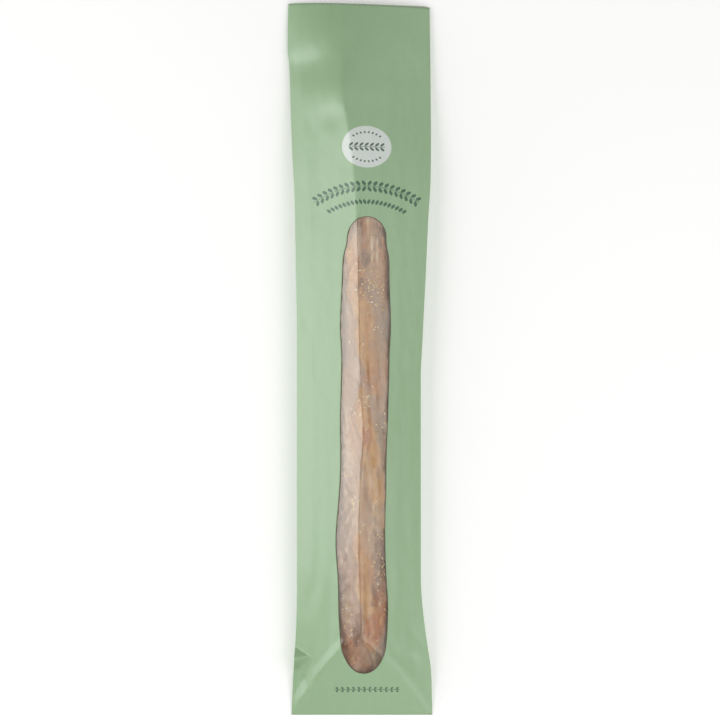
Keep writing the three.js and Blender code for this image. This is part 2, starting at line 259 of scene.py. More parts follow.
def rise(height, x, y):
    """How much taller a slanted wall stands than a level one of the same thickness: the root of
    1 + slope across squared + slope along squared."""
    step = 0.5
    slope_x = (height(x + step, y) - height(x - step, y)) / (2 * step)
    slope_y = (height(x, y + step) - height(x, y - step)) / (2 * step)
    return np.sqrt(1 + slope_x ** 2 + slope_y ** 2)


def window_half_width(y):
    """Half the window's width, times the root of 1 - (1 - t)^2 at each round end, where t is the share of
    that end's length."""
    from_foot = np.clip((y - WINDOW_FOOT) / WINDOW_FOOT_ROUND, 0, 1)
    from_head = np.clip((WINDOW_HEAD - y) / WINDOW_HEAD_ROUND, 0, 1)
    return (curve(WINDOW_HALF_WIDTH, y) * np.sqrt(1 - (1 - from_foot) ** 2)
            * np.sqrt(1 - (1 - from_head) ** 2))


# ---------------------------------------------------------------------------
# Meshes
# ---------------------------------------------------------------------------

MERGED = 0.004              # points nearer than this are one point
SLIVER = 0.001              # and an edge shorter than this is taken out


def grid_quads(rows, columns, start, face_down=False):
    """The quads of a grid whose rows run along Y and columns along X, facing up unless told."""
    i, j = np.meshgrid(np.arange(rows - 1), np.arange(columns - 1), indexing="ij")
    corner = start + (i * columns + j).ravel()
    quads = np.stack([corner, corner + 1, corner + columns + 1, corner + columns], 1)
    return quads[:, ::-1] if face_down else quads


def make_piece(name, grids, materials, sharp_angle=None, closed=False, marks=None):
    """One mesh from several grids, each (points in mm, uv in metres or None, faces down or not), with
    shared edges and poles merged. Marks are named values, one for each point of all the grids."""
    points, uvs, quads = [], [], []
    start = 0
    for grid, uv, face_down in grids:
        rows, columns = grid.shape[:2]
        points.append(grid.reshape(-1, 3) * MM)
        uvs.append((grid[..., :2] * MM if uv is None else uv).reshape(-1, 2))
        quads.append(grid_quads(rows, columns, start, face_down))
        start += rows * columns
    points, uvs, quads = np.concatenate(points), np.concatenate(uvs), np.concatenate(quads)
    mesh = bpy.data.meshes.new(name)
    mesh.vertices.add(len(points))
    mesh.vertices.foreach_set("co", points.astype(np.float32).ravel())
    mesh.loops.add(quads.size)
    mesh.loops.foreach_set("vertex_index", quads.astype(np.int32).ravel())
    mesh.polygons.add(len(quads))
    mesh.polygons.foreach_set("loop_start", np.arange(0, quads.size, 4, dtype=np.int32))
    mesh.update(calc_edges=True)
    layer = mesh.uv_layers.new(name="plan")
    layer.data.foreach_set("uv", uvs[quads.ravel()].astype(np.float32).ravel())
    for mark, values in (marks or {}).items():
        layer = mesh.attributes.new(mark, "FLOAT", "POINT")
        layer.data.foreach_set("value", values.astype(np.float32).ravel())
    work = bmesh.new()
    work.from_mesh(mesh)
    bmesh.ops.remove_doubles(work, verts=work.verts, dist=MERGED * MM)
    bmesh.ops.dissolve_degenerate(work, edges=work.edges, dist=SLIVER * MM)
    if closed:
        bmesh.ops.recalc_face_normals(work, faces=work.faces)
    work.to_mesh(mesh)
    work.free()
    mesh.shade_smooth()
    if sharp_angle:
        mesh.set_sharp_from_angle(angle=math.radians(sharp_angle))
    for material in materials:
        mesh.materials.append(material)
    piece = bpy.data.objects.new(name, mesh)
    bpy.context.collection.objects.link(piece)
    return piece


# ---------------------------------------------------------------------------
# Materials
# ---------------------------------------------------------------------------

def srgb(code):
    """A hex colour as the linear RGBA that shaders take."""
    values = [int(code[i:i + 2], 16) / 255 for i in (1, 3, 5)]
    return (*[v / 12.92 if v <= 0.04045 else ((v + 0.055) / 1.055) ** 2.4 for v in values], 1)


def add(tree, kind, inputs=None, **settings):
    """Adds one node with its settings, and fills its inputs with plain values or links."""
    node = tree.nodes.new(kind)
    for key, value in settings.items():
        setattr(node, key, value)
    for key, value in (inputs or {}).items():
        if isinstance(value, bpy.types.NodeSocket):
            tree.links.new(value, node.inputs[key])
        else:
            node.inputs[key].default_value = value
    return node


def new_material(name):
    """An empty material, and its node tree."""
    material = bpy.data.materials.new(name)
    material.use_nodes = True
    material.node_tree.nodes.clear()
    return material, material.node_tree


def repeats(size):
    """The scale of a texture whose cells are this many millimetres across: how many go into a metre."""
    return 1 / (size * MM)


# The printed ornament, in millimetres on the flat plan: an oval badge, two leafy arcs under it, and one
# short straight row at the foot.
BADGE_MIDDLE = (5.6, 176.4)
BADGE_HALF = (20.6, 17.4)
ARC_MIDDLE = (5.6, 62.0)
ARC_RADIUS, LOWER_ARC_RADIUS = 81.6, 68.6
FOOT_ROW_MIDDLE = (6.0, -276.8)
STRAIGHT = 2000.0           # an arc of this radius is a straight line on the bag
STALK = 0.45                # how thick the stalks are
LEAF_GAP = 0.25             # between a leaf and its stalk's middle


def leaf_row(tree, plan, middle, radius, spread, count, leaf, lean, mirrored=True, below=False):
    """A printed row of small pointed leaves on an arc round a middle point, in millimetres. A leaf is
    |across| + along squared < 1, long along the arc's radius, and sheared by its lean, which turns
    over at the row's middle when mirrored. Gives 1 on ink and 0 off it."""
    width, length = leaf
    outward = -1.0 if below else 1.0
    from_middle = add(tree, "ShaderNodeVectorMath", {0: plan, 1: (middle[0] * MM, middle[1] * MM, 0)},
                      operation="SUBTRACT").outputs[0]
    parts = add(tree, "ShaderNodeSeparateXYZ", {0: from_middle})
    distance = add(tree, "ShaderNodeVectorMath", {0: from_middle}, operation="LENGTH").outputs["Value"]
    upward = add(tree, "ShaderNodeMath", {0: parts.outputs[1], 1: outward}, operation="MULTIPLY")
    turn = add(tree, "ShaderNodeMath", {0: parts.outputs[0], 1: upward.outputs[0]},
               operation="ARCTAN2").outputs[0]
    step = 2 * spread / count
    cell = add(tree, "ShaderNodeMath", {0: turn, 1: 1 / step, 2: count / 2},
               operation="MULTIPLY_ADD").outputs[0]
    share = add(tree, "ShaderNodeMath", {0: cell}, operation="FRACT").outputs[0]
    across = add(tree, "ShaderNodeMath", {0: share, 1: 2 * step * radius / width,
                                          2: -step * radius / width}, operation="MULTIPLY_ADD").outputs[0]
    along = add(tree, "ShaderNodeMath", {0: distance, 1: 2 / (length * MM), 2: -2 * radius / length},
                operation="MULTIPLY_ADD").outputs[0]
    sheared = add(tree, "ShaderNodeMath", {0: along, 1: -lean * length / width},
                  operation="MULTIPLY").outputs[0]
    if mirrored:
        side = add(tree, "ShaderNodeMath", {0: turn}, operation="SIGN").outputs[0]
        sheared = add(tree, "ShaderNodeMath", {0: sheared, 1: side}, operation="MULTIPLY").outputs[0]
    across = add(tree, "ShaderNodeMath", {0: across, 1: sheared}, operation="ADD").outputs[0]
    across = add(tree, "ShaderNodeMath", {0: across}, operation="ABSOLUTE").outputs[0]
    edge = add(tree, "ShaderNodeMath", {0: along, 1: along, 2: across}, operation="MULTIPLY_ADD")
    inside = add(tree, "ShaderNodeMapRange", {"Value": edge.outputs[0], "From Min": 1.08,
                                              "From Max": 0.92})
    reach = add(tree, "ShaderNodeMath", {0: turn}, operation="ABSOLUTE").outputs[0]
    reach = add(tree, "ShaderNodeMath", {0: reach, 1: spread}, operation="LESS_THAN").outputs[0]
    return add(tree, "ShaderNodeMath", {0: inside.outputs[0], 1: reach}, operation="MULTIPLY").outputs[0]


def stalk(tree, plan, middle, radius, spread, width):
    """A printed thin line on an arc, which carries the leaves. Gives 1 on ink and 0 off it."""
    from_middle = add(tree, "ShaderNodeVectorMath", {0: plan, 1: (middle[0] * MM, middle[1] * MM, 0)},
                      operation="SUBTRACT").outputs[0]
    parts = add(tree, "ShaderNodeSeparateXYZ", {0: from_middle})
    distance = add(tree, "ShaderNodeVectorMath", {0: from_middle}, operation="LENGTH").outputs["Value"]
    turn = add(tree, "ShaderNodeMath", {0: parts.outputs[0], 1: parts.outputs[1]}, operation="ARCTAN2")
    turn = add(tree, "ShaderNodeMath", {0: turn.outputs[0]}, operation="ABSOLUTE").outputs[0]
    off = add(tree, "ShaderNodeMath", {0: distance, 1: radius * MM}, operation="SUBTRACT").outputs[0]
    off = add(tree, "ShaderNodeMath", {0: off}, operation="ABSOLUTE").outputs[0]
    line = add(tree, "ShaderNodeMapRange", {"Value": off, "From Min": 0.6 * width * MM,
                                            "From Max": 0.4 * width * MM})
    reach = add(tree, "ShaderNodeMath", {0: turn, 1: spread}, operation="LESS_THAN").outputs[0]
    return add(tree, "ShaderNodeMath", {0: line.outputs[0], 1: reach}, operation="MULTIPLY").outputs[0]


def sprig(tree, plan, middle, radius, spread, count, leaf, lean, mirrored=True):
    """A leafy sprig on an arc: a stalk with a leaf above and a leaf below it at each step."""
    offset = 0.5 * leaf[1] + LEAF_GAP
    return [leaf_row(tree, plan, middle, radius + offset, spread, count, leaf, lean, mirrored),
            leaf_row(tree, plan, middle, radius - offset, spread, count, leaf, -lean, mirrored),
            stalk(tree, plan, middle, radius, spread, STALK)]


def all_ink(tree, rows):
    """1 where any of the rows has ink: the greatest of them."""
    total = rows[0]
    for row in rows[1:]:
        total = add(tree, "ShaderNodeMath", {0: total, 1: row}, operation="MAXIMUM").outputs[0]
    return total


def printed_paper():
    """Satin coated bleached paper, printed all over in sage green: even colour with a faint mottle of
    the fibres below, a soft sheen on the facets that face a light, and dark green ornament."""
    material, tree = new_material("printed_bag_paper")
    plan = add(tree, "ShaderNodeUVMap", uv_map="plan").outputs[0]
    place = add(tree, "ShaderNodeTexCoord").outputs["Object"]
    mottle = add(tree, "ShaderNodeTexNoise", {"Vector": place, "Scale": repeats(6.25),
                                              "Detail": 4.0, "Roughness": 0.6})
    # Real fibres are a few hundredths of a millimetre thick, too fine to show, so these are coarser.
    fibres = add(tree, "ShaderNodeTexNoise", {"Vector": place, "Scale": repeats(0.714),
                                              "Detail": 2.0})
    green = add(tree, "ShaderNodeMix", {"Factor": mottle.outputs[0], 6: srgb("#8DAC83"),
                                        7: srgb("#93B289")}, data_type="RGBA")
    foot_x, foot_y = FOOT_ROW_MIDDLE
    ornament = all_ink(tree, [
        *sprig(tree, plan, ARC_MIDDLE, ARC_RADIUS, 0.57, 20, (3.2, 4.5), 0.42),
        leaf_row(tree, plan, ARC_MIDDLE, LOWER_ARC_RADIUS, 0.5, 20, (2.6, 4.6), 0.3),
        *sprig(tree, plan, (foot_x, foot_y - STRAIGHT), STRAIGHT, 0.0138, 12, (2.1, 2.2), 0.5)])
    centred = add(tree, "ShaderNodeVectorMath", {0: plan, 1: (*[v * MM for v in BADGE_MIDDLE], 0)},
                  operation="SUBTRACT").outputs[0]
    scaled = add(tree, "ShaderNodeVectorMath", {0: centred, 1: (*[1 / (v * MM) for v in BADGE_HALF], 0)},
                 operation="MULTIPLY").outputs[0]
    radius = add(tree, "ShaderNodeVectorMath", {0: scaled}, operation="LENGTH").outputs["Value"]
    badge = add(tree, "ShaderNodeMapRange", {"Value": radius, "From Min": 1.012, "From Max": 0.988})
    badge_x, badge_y = BADGE_MIDDLE
    emblem = all_ink(tree, [
        *sprig(tree, plan, (badge_x, badge_y - STRAIGHT), STRAIGHT, 0.0076, 7, (2.7, 3.4), 0.75,
               mirrored=False),
        leaf_row(tree, plan, (badge_x, badge_y - 8), 20.2, 0.66, 8, (1.6, 2.2), 0.3),
        leaf_row(tree, plan, (badge_x, badge_y + 8), 20.2, 0.66, 8, (1.6, 2.2), 0.3, below=True)])
    colour = add(tree, "ShaderNodeMix", {"Factor": ornament, 6: green.outputs[2], 7: srgb("#315C3F")},
                 data_type="RGBA")
    white = add(tree, "ShaderNodeMix", {"Factor": emblem, 6: srgb("#CED5CF"), 7: srgb("#47614F")},
                data_type="RGBA")
    colour = add(tree, "ShaderNodeMix", {"Factor": badge.outputs[0], 6: colour.outputs[2],
                                         7: white.outputs[2]}, data_type="RGBA")
    grain = add(tree, "ShaderNodeBump", {"Height": fibres.outputs[0], "Strength": 0.12,
                                         "Distance": 0.0001})
    shader = add(tree, "ShaderNodeBsdfPrincipled", {
        "Base Color": colour.outputs[2], "Roughness": 0.46, "IOR": 1.5,
        "Coat Weight": 1.0, "Coat Roughness": 0.38, "Normal": grain.outputs[0]})
    add(tree, "ShaderNodeOutputMaterial", {"Surface": shader.outputs[0]})
    return material


def inner_paper():
    """The bag's bare inside: bleached, uncoated paper, matt and slightly warm. Its fibres are drawn
    coarser than real ones, so that they show."""
    material, tree = new_material("bare_bag_paper")
    place = add(tree, "ShaderNodeTexCoord").outputs["Object"]
    fibres = add(tree, "ShaderNodeTexNoise", {"Vector": place, "Scale": repeats(1.43), "Detail": 4.0})
    tone = add(tree, "ShaderNodeMix", {"Factor": fibres.outputs[0], 6: srgb("#DDDACB"),
                                       7: srgb("#EBE8DC")}, data_type="RGBA")
    grain = add(tree, "ShaderNodeBump", {"Height": fibres.outputs[0], "Strength": 0.2,
                                         "Distance": 0.0001})
    shader = add(tree, "ShaderNodeBsdfPrincipled", {
        "Base Color": tone.outputs[2], "Roughness": 0.85, "Normal": grain.outputs[0]})
    add(tree, "ShaderNodeOutputMaterial", {"Surface": shader.outputs[0]})
    return material


def clear_film():
    """Thin polypropylene film, cast and glossy. Its two faces send back a little of the light, and the
    rest goes straight through, so each is drawn as a mirror that is 6% opaque: crust shows clearly where
    the film faces away from a light, and through a pale veil where it faces one."""
    material, tree = new_material("clear_window_film")
    place = add(tree, "ShaderNodeTexCoord").outputs["Object"]
    # Faint streaks from drawing the film: about 4 mm across and 64 mm long.
    streaked = add(tree, "ShaderNodeMapping", {"Vector": place, "Scale": (1.0, 0.06, 1.0)}).outputs[0]
    streaks = add(tree, "ShaderNodeTexNoise", {"Vector": streaked, "Scale": repeats(3.85),
                                               "Detail": 3.0})
    bump = add(tree, "ShaderNodeBump", {"Height": streaks.outputs[0], "Strength": 0.35,
                                        "Distance": 0.00012})
    shader = add(tree, "ShaderNodeBsdfPrincipled", {
        "Base Color": srgb("#F4EFE8"), "Metallic": 1.0, "Roughness": 0.22, "Alpha": 0.058,
        "Normal": bump.outputs[0]})
    add(tree, "ShaderNodeOutputMaterial", {"Surface": shader.outputs[0]})
    return material


def glue_and_edge_shadow():
    """The line of hot glue that holds the film: amber, and painted dark against the pale film as the shadow
    that the paper's cut edge casts into the window.
    """
    material, tree = new_material("glue_and_edge_shadow")
    place = add(tree, "ShaderNodeTexCoord").outputs["Object"]
    lumps = add(tree, "ShaderNodeTexNoise", {"Vector": place, "Scale": repeats(2), "Detail": 2.0})
    tone = add(tree, "ShaderNodeMix", {"Factor": lumps.outputs[0], 6: srgb("#4E4632"),
                                       7: srgb("#7A6A4E")}, data_type="RGBA")
    shader = add(tree, "ShaderNodeBsdfPrincipled", {"Base Color": tone.outputs[2], "Roughness": 0.5})
    add(tree, "ShaderNodeOutputMaterial", {"Surface": shader.outputs[0]})
    return material


def mottling(tree, place, size, squeeze, low, high, detail=4.0, shift=0.0):
    """A noise pattern that is 0 below low and 1 above high. Its patches are size millimetres across, and
    size / squeeze along the loaf. The shift, counted in patches, sets it apart from the others."""
    scale = repeats(size)
    moved = add(tree, "ShaderNodeMapping", {"Vector": place, "Location": (shift, shift, 0),
                                            "Scale": (scale, squeeze * scale, scale)}).outputs[0]
    noise = add(tree, "ShaderNodeTexNoise", {"Vector": moved, "Scale": 1.0, "Detail": detail,
                                             "Roughness": 0.6})
    return add(tree, "ShaderNodeMapRange", {"Value": noise.outputs[0], "From Min": low,
                                            "From Max": high}).outputs[0]


def painted(tree, ground, coats):
    """A colour under coats of others: each coat is (where it lies, how strongly, its colour)."""
    colour = srgb(ground)
    for where, strength, tone in coats:
        share = add(tree, "ShaderNodeMath", {0: where, 1: strength}, operation="MULTIPLY").outputs[0]
        tone = srgb(tone) if isinstance(tone, str) else tone
        colour = add(tree, "ShaderNodeMix", {"Factor": share, 6: colour, 7: tone},
                     data_type="RGBA").outputs[2]
    return colour


def baked_crust():
    """Dark malted crust, baked hard: brown with cooler greyish and redder patches where the skin is whole,
    ochre and dry where the scores opened, thinly dusted with flour and finely blistered. Painted shade
    darkens it at the scores' lips and in some of the darker patches."""
    material, tree = new_material("baked_crust")
    place = add(tree, "ShaderNodeTexCoord").outputs["Object"]
    opened = add(tree, "ShaderNodeAttribute", attribute_name="opened").outputs["Fac"]
    lip_shadow = add(tree, "ShaderNodeAttribute", attribute_name="lip_shadow").outputs["Fac"]
    along = add(tree, "ShaderNodeSeparateXYZ", {0: place}).outputs[1]
    foot = add(tree, "ShaderNodeMapRange", {"Value": along, "From Min": -0.13, "From Max": -0.25,
                                            "To Max": 1.0}).outputs[0]
    mottle = mottling(tree, place, 18.18, 0.6, 0.30, 0.56, shift=423.5)
    foot = add(tree, "ShaderNodeMath", {0: foot, 1: mottle}, operation="MULTIPLY").outputs[0]
    redder = painted(tree, "#9E785C", [
        (mottling(tree, place, 13.33, 0.7, 0.42, 0.60, shift=697.5), 1.0, "#955C3C")])
    crumb = painted(tree, "#B5834C", [
        (mottling(tree, place, 4.17, 0.12, 0.3, 0.7), 1.0, "#C49A64"),
        (mottling(tree, place, 16.67, 0.3, 0.45, 0.65, shift=114.0), 1.0, "#AE7C52")])
    # The marked patches have edges that are broken up by unevenness 6 mm across.
    rough = add(tree, "ShaderNodeTexNoise", {"Vector": place, "Scale": repeats(6.25), "Detail": 5.0})
    marked = []
    for mark, tone in (("ashen", "#907E6A"), ("toasted", "#A5633A"), ("darker_and_shade", "#684629"),
                       ("paler", "#D2BC9B")):
        here = add(tree, "ShaderNodeAttribute", attribute_name=mark).outputs["Fac"]
        here = add(tree, "ShaderNodeMath", {0: rough.outputs[0], 1: 0.8, 2: here}, operation="MULTIPLY_ADD")
        here = add(tree, "ShaderNodeMapRange", {"Value": here.outputs[0], "From Min": 0.52,
                                                "From Max": 1.0})
        marked.append((here.outputs[0], 0.85, tone))
    # Soft patches 26 and 38 mm across and about three times as long, then the redder foot, the opened scores,
    # the marked patches (the darker ones in part painted shade) and the scores' lips, darkened as a painted
    # shadow, then specks 4 mm across, dark pits of 8 mm, and a thin dust of flour.
    colour = painted(tree, "#9B806A", [
        (mottling(tree, place, 26.32, 0.4, 0.38, 0.60), 1.0, "#AA8765"),
        (mottling(tree, place, 38.46, 0.3, 0.50, 0.66, shift=80.6), 1.0, "#B17F54"),
        (foot, 1.0, redder), (opened, 1.0, crumb), *marked, (lip_shadow, 0.5, "#775A45"),
        (mottling(tree, place, 4, 0.55, 0.40, 0.66, detail=5.0, shift=1100.0), 0.4, "#8A6C54"),
        (mottling(tree, place, 7.69, 0.35, 0.62, 0.72, shift=286.0), 0.6, "#6E5440"),
        (mottling(tree, place, 11.11, 0.3, 0.52, 0.70, detail=6.0, shift=477.0), 0.4, "#CDB79C")])
    blisters = add(tree, "ShaderNodeTexVoronoi", {"Vector": place, "Scale": repeats(3.03)},
                   feature="SMOOTH_F1")
    fine = add(tree, "ShaderNodeTexNoise", {"Vector": place, "Scale": repeats(2.083), "Detail": 5.0})
    relief = add(tree, "ShaderNodeMath", {0: blisters.outputs[0], 1: fine.outputs[0]}, operation="ADD")
    bump = add(tree, "ShaderNodeBump", {"Height": relief.outputs[0], "Strength": 0.6,
                                        "Distance": 0.0008})
    gloss = add(tree, "ShaderNodeMapRange", {"Value": opened, "To Min": 0.55, "To Max": 0.85})
    shader = add(tree, "ShaderNodeBsdfPrincipled", {
        "Base Color": colour, "Roughness": gloss.outputs[0], "Normal": bump.outputs[0]})
    add(tree, "ShaderNodeOutputMaterial", {"Surface": shader.outputs[0]})
    return material


def pale_specks():
    """Small dry matt chips from pale cream to straw yellow."""
    material, tree = new_material("pale_specks")
    shade = add(tree, "ShaderNodeAttribute", attribute_name="shade").outputs["Fac"]
    shader = add(tree, "ShaderNodeBsdfPrincipled", {
        "Base Color": painted(tree, "#E4D2AE", [(shade, 1.0, "#D3A658")]), "Roughness": 0.8})
    add(tree, "ShaderNodeOutputMaterial", {"Surface": shader.outputs[0]})
    return material


# ---------------------------------------------------------------------------
# The paper bag
# ---------------------------------------------------------------------------

SEAM_LEFT, SEAM_RIGHT = 7.0, 22.0   # the edges of the glued lap down the back
LAP = 0.3                   # how far the inner lap lies above the outer one
BACK_PLAN = 0.3             # in metres: the back's plan is moved aside, off the printed ornament
MOUTH_LIP = 1.2             # how far the back stands out past the front at the mouth
ROW_STEP = 2.3


def bag_rows():
    """Places along the bag: even steps, finer ones that follow the window's round ends at round length *
    (1 - cosine), and twice as many by the crumpled corner."""
    turn = np.linspace(0, math.pi / 2, 14)
    foot = WINDOW_FOOT + WINDOW_FOOT_ROUND * (1 - np.cos(turn))
    head = WINDOW_HEAD - WINDOW_HEAD_ROUND * (1 - np.cos(turn[::-1]))
    spans = [(-BAG_END, foot[0]), (foot[-1], head[0]), (head[-1], BAG_END)]
    even = [np.linspace(a, b, max(2, round((b - a) / ROW_STEP)) + 1) for a, b in spans]
    rows = np.concatenate([even[0][:-1], foot[:-1], even[1][:-1], head[:-1], even[2]])
    between = (rows[1:] + rows[:-1]) / 2
    return np.sort(np.concatenate([rows, between[np.abs(between - CORNER_FOLD[0][1]) < 15]]))


def sheet_grid(low, high, columns, y, height):
    """A grid between two edges, given for each row, on a height function: across = low edge + share *
    (high edge - low edge)."""
    share = np.linspace(0, 1, columns)[None, :]
    x = low[:, None] * (1 - share) + high[:, None] * share
    rows = np.broadcast_to(y[:, None], x.shape)
    return x, rows, height(x, rows)


def paper_bag(materials):
    """The folded and glued sheet: the front in two strips that meet above and below the window, and the
    back in two laps that overlap at the glued seam. Both follow their height functions, and the front's
    outermost points are the back's, so that they are merged along the side creases."""
    y = bag_rows()
    left, right = curve(LEFT_EDGE, y), curve(RIGHT_EDGE, y)
    middle, half = curve(WINDOW_MIDDLE, y), window_half_width(y)

    def slanted(x, rows, z):
        """A grid of points, moved along the bag by the mouth's slant."""
        return np.stack([x, rows + slant(x, rows), z], -1)

    def front(low, high, columns):
        """A strip of the front, whose points on a side crease lie on the back's edge."""
        x, rows, z = sheet_grid(low, high, columns, y, front_height)
        edge = np.minimum(x - left[:, None], right[:, None] - x)
        z = np.where(edge < 1e-6, back_height(x, rows), z)
        return slanted(x, rows, z), None, False

    def back(low, high, columns, lift):
        """A strip of the back, lifted away from the side creases, and with the lip at the mouth."""
        x, rows, z = sheet_grid(low, high, columns, y, back_height)
        edge = np.minimum(x - left[:, None], right[:, None] - x)
        z = z + lift * smooth_step(0, 6, edge)
        points = slanted(x, rows, z)
        points[..., 1] += (MOUTH_LIP * smooth_step(-20, 5, x) * smooth_step(0, 6, edge)
                           * smooth_step(270, 300, rows))
        return points, points[..., :2] * MM + np.array([BACK_PLAN, 0]), True

    grids = [front(left, middle - half, 54), front(middle + half, right, 44),
             back(left, np.full_like(y, SEAM_RIGHT), 30, 0.0),
             back(np.full_like(y, SEAM_LEFT), right, 22, LAP)]
    piece = make_piece("paper_bag_sheet", grids, materials, sharp_angle=32)
    wall = piece.modifiers.new("wall", "SOLIDIFY")
    wall.thickness = PAPER * MM
    wall.offset = -1
    wall.use_rim = True
    wall.material_offset = 1
    wall.material_offset_rim = 0
    return piece


# ---------------------------------------------------------------------------
# The window film
# ---------------------------------------------------------------------------

def window_film(material):
    """A thin closed strip just behind the front panel: the front's height less (paper + gap) * rise, and
    less faint lengthwise waves of its own inside the window."""
    y = np.linspace(FILM_FOOT, FILM_HEAD, 240)
    ridge = curve(RIDGE_X, y)
    share = np.concatenate([np.linspace(-1, 0, 34), np.linspace(0, 1, 34)[1:]])[None, :]
    x = np.where(share < 0, ridge[:, None] + (ridge[:, None] - FILM_LEFT) * share,
                 ridge[:, None] + (FILM_RIGHT - ridge[:, None]) * share)
    rows = np.broadcast_to(y[:, None], x.shape)
    from_edge = window_half_width(rows) - np.abs(x - curve(WINDOW_MIDDLE, rows))
    free = smooth_step(0, 8, from_edge)
    waves = free * (0.10 + 0.07 * ripples((x, rows), (9, 90), 21) + 0.02 * ripples((x, rows), (4, 30), 22))
    rises = rise(front_height, x, rows)
    top = front_height(x, rows) - (PAPER + FILM_GAP) * rises - np.maximum(waves, 0)
    upper = np.stack([x, rows, top], -1)
    lower = np.stack([x, rows, top - FILM * rises], -1)
    grids = [(upper, None, False), (lower, None, True)]
    for side in (0, -1):
        rim = np.stack([upper[:, side], lower[:, side]], 1)
        grids.append((rim, None, side == -1))
        rim = np.stack([upper[side], lower[side]], 0)
        grids.append((rim, None, side == -1))
    return make_piece("window_film_sheet", grids, [material], closed=True)


def glue_shadow_line(material):
    """The thin line of glue that shows round the window, coloured dark as a painted shadow of the paper's cut
    edge: a low flat section carried round the window's outline, middle line +- half width, just under the
    paper's inner face. It is wider on the left, where light from the left casts the edge's shadow further,
    and its width wavers by a quarter."""
    turn = np.linspace(0, 2 * math.pi, 721)
    share = 0.5 - 0.5 * np.cos(turn)
    y = WINDOW_FOOT + 0.05 + (WINDOW_HEAD - WINDOW_FOOT - 0.1) * share
    side = np.where(turn < math.pi, 1.0, -1.0)
    x = curve(WINDOW_MIDDLE, y) + side * window_half_width(y)
    x[0] = x[-1]
    along = np.stack([np.gradient(x), np.gradient(y)], -1)
    along[0] = along[-1] = along[1] + along[-2]
    along /= np.maximum(np.linalg.norm(along, axis=-1, keepdims=True), 1e-9)
    inward = np.stack([-along[:, 1], along[:, 0]], -1)
    width = np.where(side > 0, GLUE_SHADOW_RIGHT, GLUE_SHADOW_LEFT)
    width = np.convolve(np.concatenate([width[-12:], width, width[:12]]), np.ones(25) / 25, "valid")
    width = width * (1 + 0.25 * ripples((y * side,), (14,), 71))
    width[-1] = width[0]
    corners = [(-0.6, 0.0), (1.0, 0.0), (1.0, 1.0), (-0.6, 1.0), (-0.6, 0.0)]
    rings = []
    for across, depth in corners:
        reach = np.where(across < 0, across, across * width)
        at_x = x + inward[:, 0] * reach
        at_y = y + inward[:, 1] * reach
        lean = rise(front_height, at_x, at_y)
        top = front_height(at_x, at_y) - (PAPER + 0.005 + depth * (FILM_GAP - 0.015)) * lean
        rings.append(np.stack([at_x, at_y, top], -1))
    return make_piece("window_edge_shadow_ring", [(np.stack(rings, 1), None, False)], [material], closed=True)


# ---------------------------------------------------------------------------
# The loaf
# ---------------------------------------------------------------------------

LOAF_FOOT = -275.0
LOAF_HEAD = 222.0
LOAF_HALF_WIDTH = 29.5
LOAF_HEIGHT = 38.0
LOAF_BASE = 0.65            # the underside, just clear of the paper
LOAF_ROOM = 0.75            # the least gap to the front panel's outside
LOAF_BELLY = 0.36           # the share of its height at which the loaf is widest
SIDE_POWER = 0.92           # 1 would be an ellipse, and less is fuller at the shoulders
UNDER_POWER = 0.75          # the same for the curve from the belly to the underside
UNDER_DEPTH = 1.12          # how far that curve would reach, before the flat underside cuts it off
LOAF_GIRTH = [(LOAF_FOOT, 0), (-274.3, 0.2), (-272, 0.46), (-262, 0.7), (-250, 0.84), (-234, 0.93),
              (-205, 0.985), (-160, 1), (100, 1), (150, 0.95), (187, 0.84), (206, 0.7), (217, 0.46),
              (221.2, 0.2), (LOAF_HEAD, 0)]
LOAF_CROWN = [(LOAF_FOOT, 0.27), (-270, 0.4), (-262, 0.53), (-250, 0.72), (-234, 0.9), (-205, 1),
              (110, 1), (155, 0.97), (187, 0.9), (206, 0.81), (217, 0.66), (LOAF_HEAD, 0.46)]
LOAF_MIDDLE = [(LOAF_FOOT, 1.4), (-190, 0.7), (-140, 0.2), (-64, 2.8), (0, 1.4), (110, -0.8),
               (LOAF_HEAD, -9)]

# The four scores: their middles, their size, and how far each leans across for a millimetre along.
SCORES = [(8, -206), (10, -86), (2, 33), (-4, 153)]
SCORE_HALF_LENGTH = 64.0
SCORE_HALF_WIDTH = 8.0
SCORE_TILT = -0.16
# A score's section: a deep side, a shallow floor and a raised lip, each with its place and width as
# shares of the half width, and its height.
SCORE_SECTION = [(-0.72, 0.26, -1.5), (0.2, 0.8, -0.8), (-1.16, 0.16, 1.2)]

# Where the oven coloured the crust, and where darker patches also paint shade: place, reach across and along,
# and strength of each patch.
TOASTED = [(0.5, 102, 4, 14, 0.6), (4, 109, 4, 6, 0.9), (22, 90, 5, 12, 0.4), (7, -17, 6, 14, 0.4),
           (6, -65, 5, 13, 0.7), (12, -223, 8, 13, 0.9), (-8, -245, 7, 12, 0.9),
           (13.5, -191, 4, 13, 0.7), (21, -208, 4, 11, 0.7), (2, -180, 4, 24, 0.3)]
# Darker crust, and painted shade: the long patches at X -13 darken the crust to stand in for less light
# reflected off the film above it.
DARKER_AND_SHADE = [(-0.5, 106, 3.5, 12, 0.6), (4.3, 83, 4.5, 5, 0.8), (1, 61, 4, 12, 0.5), (4.3, -91, 3, 4, 0.5),
          (18, -166, 5, 16, 0.8), (13, -192, 3.5, 12, 0.6), (-2.5, -227, 4, 12, 0.7),
          (-15.5, -138, 4, 11, 0.3), (-13, -104, 8, 24, 0.6), (-13, -150, 8, 22, 0.7),
          (-13, -190, 4, 16, 0.5), (19, 106, 5, 13, 0.6), (11, 98, 9, 20, 0.3), (15, -152, 7, 20, 0.35)]
